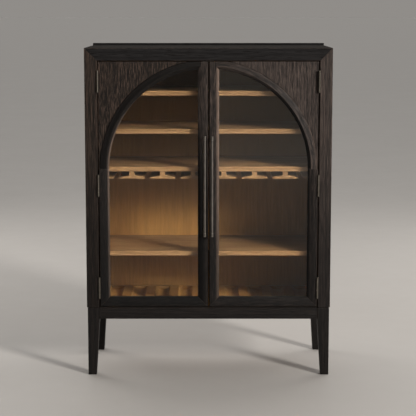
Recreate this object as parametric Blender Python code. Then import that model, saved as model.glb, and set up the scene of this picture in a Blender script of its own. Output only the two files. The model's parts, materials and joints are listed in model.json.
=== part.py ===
"""Bar cabinet: a mitred case on a base with tapered legs, and two glazed doors under one arch.

Metres, +Z up. The front faces -Y, and the origin is on the floor under the middle of the cabinet.
"""
import math

import bmesh
import bpy
from mathutils import Matrix, Vector

# Clearances
FIT_GAP = 0.0003            # between pieces that rest on or beside each other

# Case of two sides and a top, mitred together
CASE_WIDTH = 1.070
CASE_DEPTH = 0.500
CASE_HEIGHT = 1.136
CASE_THICKNESS = 0.055
EDGE_EASE = 0.0015          # small chamfer on the outer edges of boards
GALLERY_THICKNESS = 0.018   # rail across the back of the top
GALLERY_RISE = 0.010        # height of that rail above the top
BACK_THICKNESS = 0.010
BACK_INSET = 0.006
LINER_THICKNESS = 0.009
LINER_SETBACK = 0.034       # front edge of the side liners, behind the case front
HOUSING_DEPTH = 0.005       # how far a shelf runs into the side liners

# Base
BASE_HEIGHT = 0.304
BASE_INSET = 0.003          # base faces stand back from the case faces
LEG_WIDTH = 0.052
FOOT_WIDTH = 0.036
APRON_HEIGHT = 0.0515
APRON_THICKNESS = 0.022
BASE_CHAMFER = 0.004        # along the top outer edge of legs and aprons
FLOOR_THICKNESS = 0.012
FLOOR_LIFT = 0.010          # underside of the case floor above the apron bottom
FLOOR_TONGUE = 0.008        # how far the case floor runs into the apron grooves

# Shelves
SHELF_THICKNESS = 0.021
SHELF_SETBACK = 0.045
TOP_BAY = 0.1314            # clear height over the upper shelf
SHELF_PITCH = 0.1655        # upper shelf to middle shelf, and middle shelf to rack shelf
BOTTLE_BAY = 0.2182         # clear height between the bottle cradle and the lower shelf

# Rack for stemmed glasses
RUNNER_COUNT = 6
STEM_GAP = 0.024
WEB_WIDTH = 0.023
WEB_HEIGHT = 0.017
FLANGE_EDGE = 0.007         # flange thickness at its edge
FLANGE_ROOT = 0.015         # flange thickness at the web
RUNNER_SETBACK = 0.001      # runner ends behind the shelf edge

# Bottle cradle
CRADLE_THICKNESS = 0.035
CRADLE_STOP = 0.014         # ungrooved strip along its back edge
GROOVE_PITCH = 0.107
GROOVE_RADIUS = 0.040
GROOVE_DEPTH = 0.017
GROOVE_SIDES = 36

# Doors
DOOR_THICKNESS = 0.024
FRAME_FLAT = 0.031          # flat face of the door frame
BEVEL_WIDTH = 0.0135        # sloping inner edge of the door frame
BEVEL_DEPTH = 0.008
MEETING_CHAMFER = 0.005
RABBET_WIDTH = 0.008        # step that holds the glass
RABBET_FRONT = 0.012        # front of that step, behind the door face
GLASS_THICKNESS = 0.004
CROWN_RAIL = 0.032          # door top to the crown of the arch opening
SPANDREL_MARGIN = 0.005     # arch band to the hinge edge at the spring line
BAND_FALL = 0.005           # how far the arch band's face falls back towards its outer edge
BAND_ROLL = 0.002           # chamfer on that outer edge
SPANDREL_RECESS = 0.009     # corner panel behind the door face
SPANDREL_TIP = 0.002        # blunt end of the corner panel over the arch
ARCH_STEPS = 36

# Hinges
HINGE_LENGTH = 0.095
HINGE_MARGIN = 0.085        # door end to the middle of the outer hinges
HINGES_PER_DOOR = 3
KNUCKLES = 5
KNUCKLE_GAP = 0.0005
BARREL_RADIUS = 0.0045
BARREL_FORWARD = 0.003      # hinge axis in front of the door face
BARREL_PLAY = 0.0009        # barrel to the chamfers on either side of the door gap
PIN_RADIUS = 0.002
PIN_PLAY = 0.0003
LEAF_THICKNESS = 0.001
LEAF_PLAY = 0.0003          # each leaf to the middle of the door gap
LEAF_DEPTH = 0.020
TAB_BITE = 0.0015           # how far a leaf runs into its own knuckles
BARREL_SIDES = 12

# Handles
HANDLE_LENGTH = 0.440
HANDLE_OFFSET = 0.016       # handle axis from the middle of the cabinet
HANDLE_DROP = 0.0015        # middle of the handle below the middle of the door
HANDLE_STANDOFF = 0.030
HANDLE_RADIUS = 0.0055
COLLAR_RADIUS = 0.0065
COLLAR_LENGTH = 0.018
POST_RADIUS = 0.005
HANDLE_SIDES = 16

# Catch
CATCH_WIDTH = 0.050
CATCH_DEPTH = 0.018
CATCH_HEIGHT = 0.014
STRIKE_WIDTH = 0.018
STRIKE_HEIGHT = 0.010
STRIKE_THICKNESS = 0.0012
STRIKE_MARGIN = 0.002       # strike plate to the door's top and meeting edges

# Values that follow from the sizes above
DOOR_GAP = 2 * (FIT_GAP + LEAF_THICKNESS + LEAF_PLAY)
REVEAL_CHAMFER = math.sqrt(2) * (BARREL_RADIUS + BARREL_PLAY) - BARREL_FORWARD - DOOR_GAP / 2
MITRE_BACK = FIT_GAP / math.sqrt(2)
HANDLE_REACH = HANDLE_STANDOFF + COLLAR_RADIUS
FRONT_Y = (HANDLE_REACH - CASE_DEPTH) / 2
REAR_Y = FRONT_Y + CASE_DEPTH
TOP_Z = BASE_HEIGHT + CASE_HEIGHT
CEILING_Z = TOP_Z - CASE_THICKNESS
CASE_HALF = CASE_WIDTH / 2
INNER_HALF = CASE_HALF - CASE_THICKNESS
ROOM_HALF = INNER_HALF - FIT_GAP - LINER_THICKNESS
BACK_FRONT_Y = REAR_Y - BACK_INSET - BACK_THICKNESS

BASE_HALF = CASE_HALF - BASE_INSET
LEG_INNER_X = BASE_HALF - LEG_WIDTH
BASE_FRONT_Y = FRONT_Y + BASE_INSET
BASE_REAR_Y = REAR_Y - BASE_INSET
APRON_BOTTOM_Z = BASE_HEIGHT - APRON_HEIGHT
FLOOR_BOTTOM_Z = APRON_BOTTOM_Z + FLOOR_LIFT
FLOOR_TOP_Z = FLOOR_BOTTOM_Z + FLOOR_THICKNESS
RIDGE_Z = FLOOR_TOP_Z + FIT_GAP + CRADLE_THICKNESS
APRON_REACH = LEG_INNER_X - FIT_GAP
SIDE_APRON_FRONT_Y = BASE_FRONT_Y + LEG_WIDTH + FIT_GAP
SIDE_APRON_REAR_Y = BASE_REAR_Y - LEG_WIDTH - FIT_GAP
FLOOR_TUCK = APRON_THICKNESS - FLOOR_TONGUE

UPPER_SHELF_Z = CEILING_Z - TOP_BAY
MIDDLE_SHELF_Z = UPPER_SHELF_Z - SHELF_PITCH
RACK_SHELF_Z = MIDDLE_SHELF_Z - SHELF_PITCH
LOWER_SHELF_Z = RIDGE_Z + BOTTLE_BAY + SHELF_THICKNESS
SHELF_TOPS = {
    "upper_shelf": UPPER_SHELF_Z,
    "middle_shelf": MIDDLE_SHELF_Z,
    "rack_shelf": RACK_SHELF_Z,
    "lower_shelf": LOWER_SHELF_Z,
}
SHELF_FRONT_Y = FRONT_Y + SHELF_SETBACK
RUNNER_PITCH = 2 * (ROOM_HALF - FIT_GAP) / (RUNNER_COUNT + 1)
FLANGE_HALF = (RUNNER_PITCH - STEM_GAP) / 2
RUNNER_TOP_Z = RACK_SHELF_Z - SHELF_THICKNESS - FIT_GAP

DOOR_BOTTOM_Z = BASE_HEIGHT + DOOR_GAP
DOOR_TOP_Z = CEILING_Z - DOOR_GAP
DOOR_MIDDLE_Z = (DOOR_BOTTOM_Z + DOOR_TOP_Z) / 2
HINGE_EDGE_X = INNER_HALF - DOOR_GAP
MEETING_EDGE_X = DOOR_GAP / 2
FRAME_WIDTH = FRAME_FLAT + BEVEL_WIDTH
GLASS_RADIUS = HINGE_EDGE_X - FRAME_WIDTH
BEVEL_RADIUS = GLASS_RADIUS + BEVEL_WIDTH
BAND_RADIUS = HINGE_EDGE_X - SPANDREL_MARGIN
SPRING_Z = DOOR_TOP_Z - CROWN_RAIL - GLASS_RADIUS
HINGE_AXIS_X = INNER_HALF - DOOR_GAP / 2
HINGE_AXIS_Y = FRONT_Y - BARREL_FORWARD

X_AXIS = (1, 0, 0)
Y_AXIS = (0, 1, 0)
Z_AXIS = (0, 0, 1)
SIDES = {"left": -1, "right": 1}


def clear_scene():
    """Remove every object that the file opened with."""
    for obj in list(bpy.data.objects):
        bpy.data.objects.remove(obj, do_unlink=True)


def finish(name, colour, roughness, metallic=0.0, transmission=0.0):
    """Return a material with one colour and one gloss."""
    material = bpy.data.materials.new(name)
    material.use_nodes = True
    shader = material.node_tree.nodes["Principled BSDF"]
    shader.inputs["Base Color"].default_value = (*colour, 1.0)
    shader.inputs["Roughness"].default_value = roughness
    shader.inputs["Metallic"].default_value = metallic
    shader.inputs["Transmission Weight"].default_value = transmission
    return material


def make_finishes():
    """Return the cabinet's materials by name."""
    return {
        "dark_oak": finish("dark_oak", (0.022, 0.018, 0.016), 0.55),
        "light_oak": finish("light_oak", (0.42, 0.26, 0.14), 0.6),
        "dark_metal": finish("dark_metal", (0.03, 0.028, 0.026), 0.35, metallic=1.0),
        "glass": finish("glass", (0.95, 0.96, 0.95), 0.02, transmission=1.0),
        "steel": finish("steel", (0.5, 0.5, 0.5), 0.3, metallic=1.0),
    }


def flipped(axis):
    """Return an axis pointing the other way."""
    return tuple(-value for value in axis)


def placed(origin, across, inward, along):
    """Return the matrix that puts (across, inward, along) coordinates in the world."""
    turn = Matrix((across, inward, along)).transposed()
    return Matrix.Translation(origin) @ turn.to_4x4()


def link(name, bm, material=None, parent=None):
    """Turn a bmesh into a named object, under a joint's empty where it moves."""
    bm.normal_update()
    bmesh.ops.recalc_face_normals(bm, faces=bm.faces)
    mesh = bpy.data.meshes.new(name)
    bm.to_mesh(mesh)
    bm.free()
    obj = bpy.data.objects.new(name, mesh)
    bpy.context.scene.collection.objects.link(obj)
    if material:
        mesh.materials.append(material)
    if parent:
        obj.parent = parent
        obj.matrix_parent_inverse = Matrix.Translation(-parent.location)
    return obj


def tool(name, bm, parent=None):
    """Make a hidden shape for a Boolean to join or cut with."""
    obj = link(name, bm, parent=parent)
    obj.hide_render = True
    obj.display_type = "WIRE"
    return obj


def combine(obj, other, operation):
    """Join or cut an object with a hidden shape."""
    modifier = obj.modifiers.new(operation.lower(), "BOOLEAN")
    modifier.operation = operation
    modifier.solver = "EXACT"
    modifier.object = other


def loft(sections, place):
    """Return a solid extruded from each section to the next, in (across, inward, along) points."""
    bm = bmesh.new()
    face = bm.faces.new([bm.verts.new(point) for point in sections[0]])
    for section in sections[1:]:
        grown = bmesh.ops.extrude_face_region(bm, geom=[face, *face.edges])
        face = next(item for item in grown["geom"] if isinstance(item, bmesh.types.BMFace))
        for vert, point in zip(face.verts, section):
            vert.co = point
    bm.transform(place)
    return bm


def run(outline, place, start, end, start_slope=0.0, end_slope=0.0):
    """Return a board: an outline run from start to end, its ends cut at a slope across the board."""
    near = [(u, v, start + start_slope * u) for u, v in outline]
    far = [(u, v, end + end_slope * u) for u, v in outline]
    return loft((near, far), place)


def turn(bm, profile, sides, bored=False):
    """Add a body turned about the along axis from (radius, length) points, with flat ends or a bore."""
    verts = [bm.verts.new((radius, 0, length)) for radius, length in profile]
    edges = [bm.edges.new(pair) for pair in zip(verts, verts[1:])]
    if bored:
        edges.append(bm.edges.new((verts[-1], verts[0])))
    bmesh.ops.spin(bm, geom=verts + edges, axis=Z_AXIS, angle=2 * math.pi, steps=sides, use_merge=True)
    if not bored:
        bmesh.ops.holes_fill(bm, edges=bm.edges)


def cylinder(bm, radius, start, end, place, sides):
    """Add a cylinder along the along axis, with flats and not corners on its across and inward axes."""
    middle = Matrix.Translation((0, 0, (start + end) / 2))
    half_side = Matrix.Rotation(math.pi / sides, 4, "Z")
    bmesh.ops.create_cone(
        bm,
        cap_ends=True,
        segments=sides,
        radius1=radius,
        radius2=radius,
        depth=end - start,
        matrix=place @ middle @ half_side,
    )


def cut_rectangle(width, depth, cuts):
    """Return a rectangle's outline with a chamfer at each corner, round from the near left one."""
    near_left, near_right, far_right, far_left = cuts
    return [
        (near_left, 0),
        (width - near_right, 0),
        (width, near_right),
        (width, depth - far_right),
        (width - far_right, depth),
        (far_left, depth),
        (0, depth - far_left),
        (0, near_left),
    ]


def eased(width, depth):
    """Return a rectangle's outline with every corner eased alike."""
    return cut_rectangle(width, depth, (EDGE_EASE,) * 4)


def box(low, high):
    """Return a plain block between two corners."""
    bm = bmesh.new()
    middle = (Vector(low) + Vector(high)) / 2
    size = Matrix.Diagonal(Vector(high) - Vector(low)).to_4x4()
    bmesh.ops.create_cube(bm, size=1, matrix=Matrix.Translation(middle) @ size)
    return bm


def arc(radius, start, end, steps):
    """Return points on a circle about the arch centre, from angle to angle."""
    angles = [start + (end - start) * i / steps for i in range(steps + 1)]
    return [(radius * math.cos(a), SPRING_Z + radius * math.sin(a)) for a in angles]


def make_case(finishes):
    """Two sides and a top with mitred corners."""
    dark = finishes["dark_oak"]
    cuts = (EDGE_EASE, REVEAL_CHAMFER, EDGE_EASE, EDGE_EASE)
    outline = cut_rectangle(CASE_THICKNESS, CASE_DEPTH, cuts)
    for name, side in SIDES.items():
        place = placed((side * CASE_HALF, FRONT_Y, 0), (-side, 0, 0), Y_AXIS, Z_AXIS)
        board = run(outline, place, BASE_HEIGHT + FIT_GAP, TOP_Z - MITRE_BACK, end_slope=-1)
        link(f"{name}_side_panel", board, dark)

    depth = CASE_DEPTH - GALLERY_THICKNESS - FIT_GAP
    outline = cut_rectangle(CASE_THICKNESS, depth, cuts)
    place = placed((0, FRONT_Y, TOP_Z), flipped(Z_AXIS), Y_AXIS, X_AXIS)
    reach = CASE_HALF - MITRE_BACK
    link("top_panel", run(outline, place, -reach, reach, 1, -1), dark)


def make_gallery(finishes):
    """Rail across the back of the top, mitred to the sides and raised above them."""
    reach = CASE_HALF - MITRE_BACK
    rail_top = TOP_Z + GALLERY_RISE
    foot = reach - CASE_THICKNESS
    outline = [
        (-foot, CEILING_Z),
        (foot, CEILING_Z),
        (reach, TOP_Z),
        (reach, rail_top - EDGE_EASE),
        (reach - EDGE_EASE, rail_top),
        (EDGE_EASE - reach, rail_top),
        (-reach, rail_top - EDGE_EASE),
        (-reach, TOP_Z),
    ]
    place = placed((0, REAR_Y, 0), X_AXIS, Z_AXIS, flipped(Y_AXIS))
    link("back_gallery_rail", run(outline, place, 0, GALLERY_THICKNESS), finishes["dark_oak"])


def make_lining(finishes):
    """Light oak side liners with a housing for each shelf, and the back panel."""
    light = finishes["light_oak"]
    low = BASE_HEIGHT + FIT_GAP
    high = CEILING_Z - FIT_GAP
    bed = LINER_THICKNESS - HOUSING_DEPTH
    outline = [(0, high), (0, low), (LINER_THICKNESS, low)]
    for top in sorted(SHELF_TOPS.values()):
        under = top - SHELF_THICKNESS - FIT_GAP
        over = top + FIT_GAP
        outline += [(LINER_THICKNESS, under), (bed, under), (bed, over), (LINER_THICKNESS, over)]
    outline.append((LINER_THICKNESS, high))
    for name, side in SIDES.items():
        place = placed((side * (INNER_HALF - FIT_GAP), 0, 0), (-side, 0, 0), Z_AXIS, Y_AXIS)
        board = run(outline, place, FRONT_Y + LINER_SETBACK, BACK_FRONT_Y - FIT_GAP)
        link(f"{name}_side_liner", board, light)

    half = INNER_HALF - FIT_GAP
    panel = box((-half, BACK_FRONT_Y, low), (half, BACK_FRONT_Y + BACK_THICKNESS, high))
    link("back_panel", panel, light)


def make_shelves(finishes):
    """Four full-width shelves, housed in the side liners."""
    depth = BACK_FRONT_Y - FIT_GAP - SHELF_FRONT_Y
    reach = ROOM_HALF + HOUSING_DEPTH - FIT_GAP
    for name, top in SHELF_TOPS.items():
        place = placed((0, SHELF_FRONT_Y, top), flipped(Z_AXIS), Y_AXIS, X_AXIS)
        board = run(eased(SHELF_THICKNESS, depth), place, -reach, reach)
        link(name, board, finishes["light_oak"])


def half_runner():
    """Return one side of a runner's section, from the middle of its top round to its bottom."""
    web = WEB_WIDTH / 2
    root = -WEB_HEIGHT
    bottom = root - FLANGE_ROOT
    return [(web, 0), (web, root), (FLANGE_HALF, bottom + FLANGE_EDGE), (FLANGE_HALF, bottom)]


def make_stem_rack(finishes):
    """T-section runners under the rack shelf, and a half runner against each side liner."""
    light = finishes["light_oak"]
    start = SHELF_FRONT_Y + RUNNER_SETBACK
    end = BACK_FRONT_Y - FIT_GAP
    half = half_runner()
    whole = half + [(-u, v) for u, v in reversed(half)]
    for i in range(RUNNER_COUNT):
        middle = (i - (RUNNER_COUNT - 1) / 2) * RUNNER_PITCH
        place = placed((middle, 0, RUNNER_TOP_Z), X_AXIS, Z_AXIS, Y_AXIS)
        link(f"stem_runner_{i + 1}", run(whole, place, start, end), light)
    wall = [(0, 0)] + half + [(0, half[-1][1])]
    for name, side in SIDES.items():
        place = placed((side * (ROOM_HALF - FIT_GAP), 0, RUNNER_TOP_Z), (-side, 0, 0), Z_AXIS, Y_AXIS)
        link(f"{name}_stem_cleat", run(wall, place, start, end), light)


def make_cradle(finishes):
    """Board with round grooves for bottles, lying on the case floor."""
    half = min(ROOM_HALF, LEG_INNER_X) - FIT_GAP
    front = max(SHELF_FRONT_Y, BASE_FRONT_Y + APRON_THICKNESS + FIT_GAP)
    rear = min(BACK_FRONT_Y, BASE_REAR_Y - APRON_THICKNESS) - FIT_GAP
    bottom = FLOOR_TOP_Z + FIT_GAP
    cradle = link("bottle_cradle", box((-half, front, bottom), (half, rear, RIDGE_Z)), finishes["light_oak"])

    mouth = 2 * math.sqrt(GROOVE_RADIUS**2 - (GROOVE_RADIUS - GROOVE_DEPTH) ** 2)
    count = 1 + int((2 * half - mouth) / GROOVE_PITCH)
    grooves = bmesh.new()
    for i in range(count):
        middle = (i - (count - 1) / 2) * GROOVE_PITCH
        place = placed((middle, 0, RIDGE_Z + GROOVE_RADIUS - GROOVE_DEPTH), X_AXIS, Z_AXIS, Y_AXIS)
        cylinder(grooves, GROOVE_RADIUS, front - GROOVE_RADIUS, rear - CRADLE_STOP, place, GROOVE_SIDES)
    combine(cradle, tool("groove_cutter", grooves), "DIFFERENCE")


def leg_section(low, high):
    """Return an eased square between two corners, measured in from the leg's outer edges."""
    size = high - low
    return [(low + u, low + v) for u, v in eased(size, size)]


def base_ends():
    """Return the outer face of the base at the front and the rear, with the way in from it."""
    return {"front": (BASE_FRONT_Y, Y_AXIS), "rear": (BASE_REAR_Y, flipped(Y_AXIS))}


def make_legs(finishes):
    """Four legs that taper on their inner sides."""
    levels = (
        (0, leg_section(0, FOOT_WIDTH)),
        (APRON_BOTTOM_Z, leg_section(0, LEG_WIDTH)),
        (BASE_HEIGHT - BASE_CHAMFER, leg_section(0, LEG_WIDTH)),
        (BASE_HEIGHT, leg_section(BASE_CHAMFER, LEG_WIDTH)),
    )
    sections = [[(u, v, z) for u, v in section] for z, section in levels]
    for end, (face, inward) in base_ends().items():
        for name, side in SIDES.items():
            place = placed((side * BASE_HALF, face, 0), (-side, 0, 0), inward, Z_AXIS)
            link(f"{end}_{name}_leg", loft(sections, place), finishes["dark_oak"])


def make_aprons(finishes):
    """Four aprons between the legs, grooved for the case floor."""
    dark = finishes["dark_oak"]
    groove = FLOOR_TUCK - FIT_GAP
    section = [
        (0, APRON_BOTTOM_Z),
        (0, BASE_HEIGHT - BASE_CHAMFER),
        (BASE_CHAMFER, BASE_HEIGHT),
        (APRON_THICKNESS, BASE_HEIGHT),
        (APRON_THICKNESS, FLOOR_TOP_Z + FIT_GAP),
        (groove, FLOOR_TOP_Z + FIT_GAP),
        (groove, FLOOR_BOTTOM_Z - FIT_GAP),
        (APRON_THICKNESS, FLOOR_BOTTOM_Z - FIT_GAP),
        (APRON_THICKNESS, APRON_BOTTOM_Z),
    ]
    for end, (face, inward) in base_ends().items():
        place = placed((0, face, 0), inward, Z_AXIS, X_AXIS)
        link(f"{end}_apron", run(section, place, -APRON_REACH, APRON_REACH), dark)
    for name, side in SIDES.items():
        place = placed((side * BASE_HALF, 0, 0), (-side, 0, 0), Z_AXIS, Y_AXIS)
        link(f"{name}_apron", run(section, place, SIDE_APRON_FRONT_Y, SIDE_APRON_REAR_Y), dark)


def make_floor(finishes):
    """Case floor with a tongue into each apron, notched round the legs."""
    wide = BASE_HALF - FLOOR_TUCK
    right = [
        (APRON_REACH, BASE_FRONT_Y + FLOOR_TUCK),
        (APRON_REACH, SIDE_APRON_FRONT_Y),
        (wide, SIDE_APRON_FRONT_Y),
        (wide, SIDE_APRON_REAR_Y),
        (APRON_REACH, SIDE_APRON_REAR_Y),
        (APRON_REACH, BASE_REAR_Y - FLOOR_TUCK),
    ]
    outline = right + [(-x, y) for x, y in reversed(right)]
    place = placed((0, 0, 0), X_AXIS, Y_AXIS, Z_AXIS)
    board = run(outline, place, FLOOR_BOTTOM_Z, FLOOR_TOP_Z)
    link("case_floor", board, finishes["light_oak"])


def frame_section(chamfer):
    """Return the door frame's section: outer chamfer, flat, bevel, and the step for the glass."""
    step = FRAME_WIDTH - RABBET_WIDTH
    return [
        (chamfer, 0),
        (FRAME_FLAT, 0),
        (FRAME_WIDTH, BEVEL_DEPTH),
        (FRAME_WIDTH, RABBET_FRONT),
        (step, RABBET_FRONT),
        (step, DOOR_THICKNESS),
        (0, DOOR_THICKNESS),
        (0, chamfer),
    ]


def crown_mitre():
    """Return the two ends of the mitre where the meeting stile's bevel meets the arch's bevel."""
    outer = MEETING_EDGE_X + FRAME_FLAT
    inner = MEETING_EDGE_X + FRAME_WIDTH
    outer_z = SPRING_Z + math.sqrt(BEVEL_RADIUS**2 - outer**2)
    inner_z = SPRING_Z + math.sqrt(GLASS_RADIUS**2 - inner**2)
    return Vector((outer, outer_z)), Vector((inner, inner_z))


def make_stiles(name, side, hinge, finishes):
    """Hinge stile up to the spring line, and meeting stile up to the door top."""
    dark = finishes["dark_oak"]
    start = DOOR_BOTTOM_Z + MITRE_BACK
    place = placed((side * HINGE_EDGE_X, FRONT_Y, 0), (-side, 0, 0), Y_AXIS, Z_AXIS)
    stile = run(frame_section(REVEAL_CHAMFER), place, start, SPRING_Z - FIT_GAP, start_slope=1)
    link(f"{name}_hinge_stile", stile, dark, hinge)

    place = placed((side * MEETING_EDGE_X, FRONT_Y, 0), (side, 0, 0), Y_AXIS, Z_AXIS)
    stile = run(frame_section(MEETING_CHAMFER), place, start, DOOR_TOP_Z, start_slope=1)
    meeting = link(f"{name}_meeting_stile", stile, dark, hinge)
    outer, inner = crown_mitre()
    past = inner + (inner - outer)
    over = DOOR_TOP_Z + CROWN_RAIL
    corner = [(outer.x, over), tuple(outer), tuple(past), (past.x, over)]
    combine(meeting, tool(f"{name}_crown_cutter", through_door(corner, side), hinge), "DIFFERENCE")


def through_door(outline, side):
    """Return a cutter that runs an (x, z) outline through the whole door."""
    place = placed((0, FRONT_Y, 0), (side, 0, 0), Z_AXIS, Y_AXIS)
    return run(outline, place, -DOOR_THICKNESS, 2 * DOOR_THICKNESS)


def band_section():
    """Return the arch band's section in (radius, depth): sloping face, step for the glass, bevel."""
    step = GLASS_RADIUS + RABBET_WIDTH
    return [
        (BAND_RADIUS - BAND_ROLL, BAND_FALL),
        (BAND_RADIUS, BAND_FALL + BAND_ROLL),
        (BAND_RADIUS, DOOR_THICKNESS),
        (step, DOOR_THICKNESS),
        (step, RABBET_FRONT),
        (GLASS_RADIUS, RABBET_FRONT),
        (GLASS_RADIUS, BEVEL_DEPTH),
        (BEVEL_RADIUS, 0),
    ]


def make_arch_band(name, side, hinge, finishes):
    """Bent arch band, cut to the door top and to the meeting stile."""
    bm = bmesh.new()
    foot = bm.faces.new([bm.verts.new((radius, depth, 0)) for radius, depth in band_section()])
    bmesh.ops.spin(bm, geom=[foot], axis=flipped(Y_AXIS), angle=math.pi / 2, steps=ARCH_STEPS)
    bm.transform(placed((0, FRONT_Y, SPRING_Z), (side, 0, 0), Y_AXIS, Z_AXIS))
    band = link(f"{name}_arch_band", bm, finishes["dark_oak"], hinge)
    outer, inner = crown_mitre()
    past = inner + (inner - outer)
    over = DOOR_TOP_Z + CROWN_RAIL
    wide = BAND_RADIUS + CROWN_RAIL
    waste = [
        (-FRAME_WIDTH, past.y),
        (past.x + FIT_GAP, past.y),
        (outer.x + FIT_GAP, outer.y),
        (outer.x + FIT_GAP, DOOR_TOP_Z),
        (wide, DOOR_TOP_Z),
        (wide, over),
        (-FRAME_WIDTH, over),
    ]
    combine(band, tool(f"{name}_band_cutter", through_door(waste, side), hinge), "DIFFERENCE")


def make_spandrel(name, side, hinge, finishes):
    """Corner panel between the arch band, the door top and the hinge edge."""
    radius = BAND_RADIUS + FIT_GAP
    tip = math.asin(min(1.0, (DOOR_TOP_Z - SPANDREL_TIP - SPRING_Z) / radius))
    curve = arc(radius, 0, tip, ARCH_STEPS)
    outline = curve + [(curve[-1][0], DOOR_TOP_Z), (HINGE_EDGE_X, DOOR_TOP_Z), (HINGE_EDGE_X, SPRING_Z)]
    place = placed((0, FRONT_Y, 0), (side, 0, 0), Z_AXIS, Y_AXIS)
    panel = run(outline, place, SPANDREL_RECESS, DOOR_THICKNESS)
    link(f"{name}_spandrel", panel, finishes["dark_oak"], hinge)


def opening_outline(spread):
    """Return the outline of a door's glass opening, grown by spread on every side."""
    near = MEETING_EDGE_X + FRAME_WIDTH - spread
    bottom = DOOR_BOTTOM_Z + FRAME_WIDTH - spread
    radius = GLASS_RADIUS + spread
    return [(near, bottom), (radius, bottom)] + arc(radius, 0, math.acos(near / radius), ARCH_STEPS)


def make_glazing(name, side, hinge, finishes):
    """Glass in the frame's step, and the bead that holds it from behind."""
    place = placed((0, FRONT_Y, 0), (side, 0, 0), Z_AXIS, Y_AXIS)
    edge = opening_outline(RABBET_WIDTH - FIT_GAP)
    start = RABBET_FRONT + FIT_GAP
    pane = run(edge, place, start, start + GLASS_THICKNESS)
    link(f"{name}_glass", pane, finishes["glass"], hinge)

    near = start + GLASS_THICKNESS + FIT_GAP
    board = run(edge, place, near, DOOR_THICKNESS)
    bead = link(f"{name}_glass_bead", board, finishes["dark_oak"], hinge)
    sight = through_door(opening_outline(0), side)
    combine(bead, tool(f"{name}_sight_cutter", sight, hinge), "DIFFERENCE")


def make_bottom_rail(name, side, hinge, finishes):
    """Rail across the foot of the door, mitred to both stiles."""
    place = placed((0, FRONT_Y, DOOR_BOTTOM_Z), Z_AXIS, Y_AXIS, (side, 0, 0))
    start = MEETING_EDGE_X + MITRE_BACK
    end = HINGE_EDGE_X - MITRE_BACK
    rail = run(frame_section(REVEAL_CHAMFER), place, start, end, 1, -1)
    link(f"{name}_bottom_rail", rail, finishes["dark_oak"], hinge)


def make_handle(name, side, hinge, finishes):
    """Round bar with a collar at each end, standing off the meeting stile on two posts."""
    middle = DOOR_MIDDLE_Z - HANDLE_DROP
    low = middle - HANDLE_LENGTH / 2
    high = middle + HANDLE_LENGTH / 2
    bar_y = FRONT_Y - HANDLE_STANDOFF
    place = placed((side * HANDLE_OFFSET, bar_y, 0), X_AXIS, Y_AXIS, Z_AXIS)
    profile = [
        (COLLAR_RADIUS - EDGE_EASE, low),
        (COLLAR_RADIUS, low + EDGE_EASE),
        (COLLAR_RADIUS, low + COLLAR_LENGTH),
        (HANDLE_RADIUS, low + COLLAR_LENGTH),
        (HANDLE_RADIUS, high - COLLAR_LENGTH),
        (COLLAR_RADIUS, high - COLLAR_LENGTH),
        (COLLAR_RADIUS, high - EDGE_EASE),
        (COLLAR_RADIUS - EDGE_EASE, high),
    ]
    bar = bmesh.new()
    turn(bar, profile, HANDLE_SIDES)
    bar.transform(place)
    handle = link(f"{name}_handle", bar, finishes["dark_metal"], hinge)
    posts = bmesh.new()
    for centre in (low + COLLAR_LENGTH / 2, high - COLLAR_LENGTH / 2):
        place = placed((side * HANDLE_OFFSET, 0, centre), X_AXIS, Z_AXIS, Y_AXIS)
        cylinder(posts, POST_RADIUS, bar_y, FRONT_Y - FIT_GAP, place, HANDLE_SIDES)
    combine(handle, tool(f"{name}_handle_posts", posts, hinge), "UNION")


def knuckle_spans(centre):
    """Return the lower and upper end of each knuckle of a hinge."""
    length = (HINGE_LENGTH - KNUCKLE_GAP * (KNUCKLES - 1)) / KNUCKLES
    low = centre - HINGE_LENGTH / 2
    starts = [low + i * (length + KNUCKLE_GAP) for i in range(KNUCKLES)]
    return [(start, start + length) for start in starts]


def leaf_outline(spans, first):
    """Return a leaf's outline in (depth, height): a tab at its own knuckles, a notch at the others."""
    tab = BARREL_RADIUS - TAB_BITE
    notch = BARREL_RADIUS + KNUCKLE_GAP
    bottom = spans[0][0]
    top = spans[-1][1]
    outline = [(LEAF_DEPTH, top), (LEAF_DEPTH, bottom), (notch, bottom)]
    for low, high in spans[first::2]:
        start = low + KNUCKLE_GAP
        end = high - KNUCKLE_GAP
        outline += [(notch, start), (tab, start), (tab, end), (notch, end)]
    outline.append((notch, top))
    return outline


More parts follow.
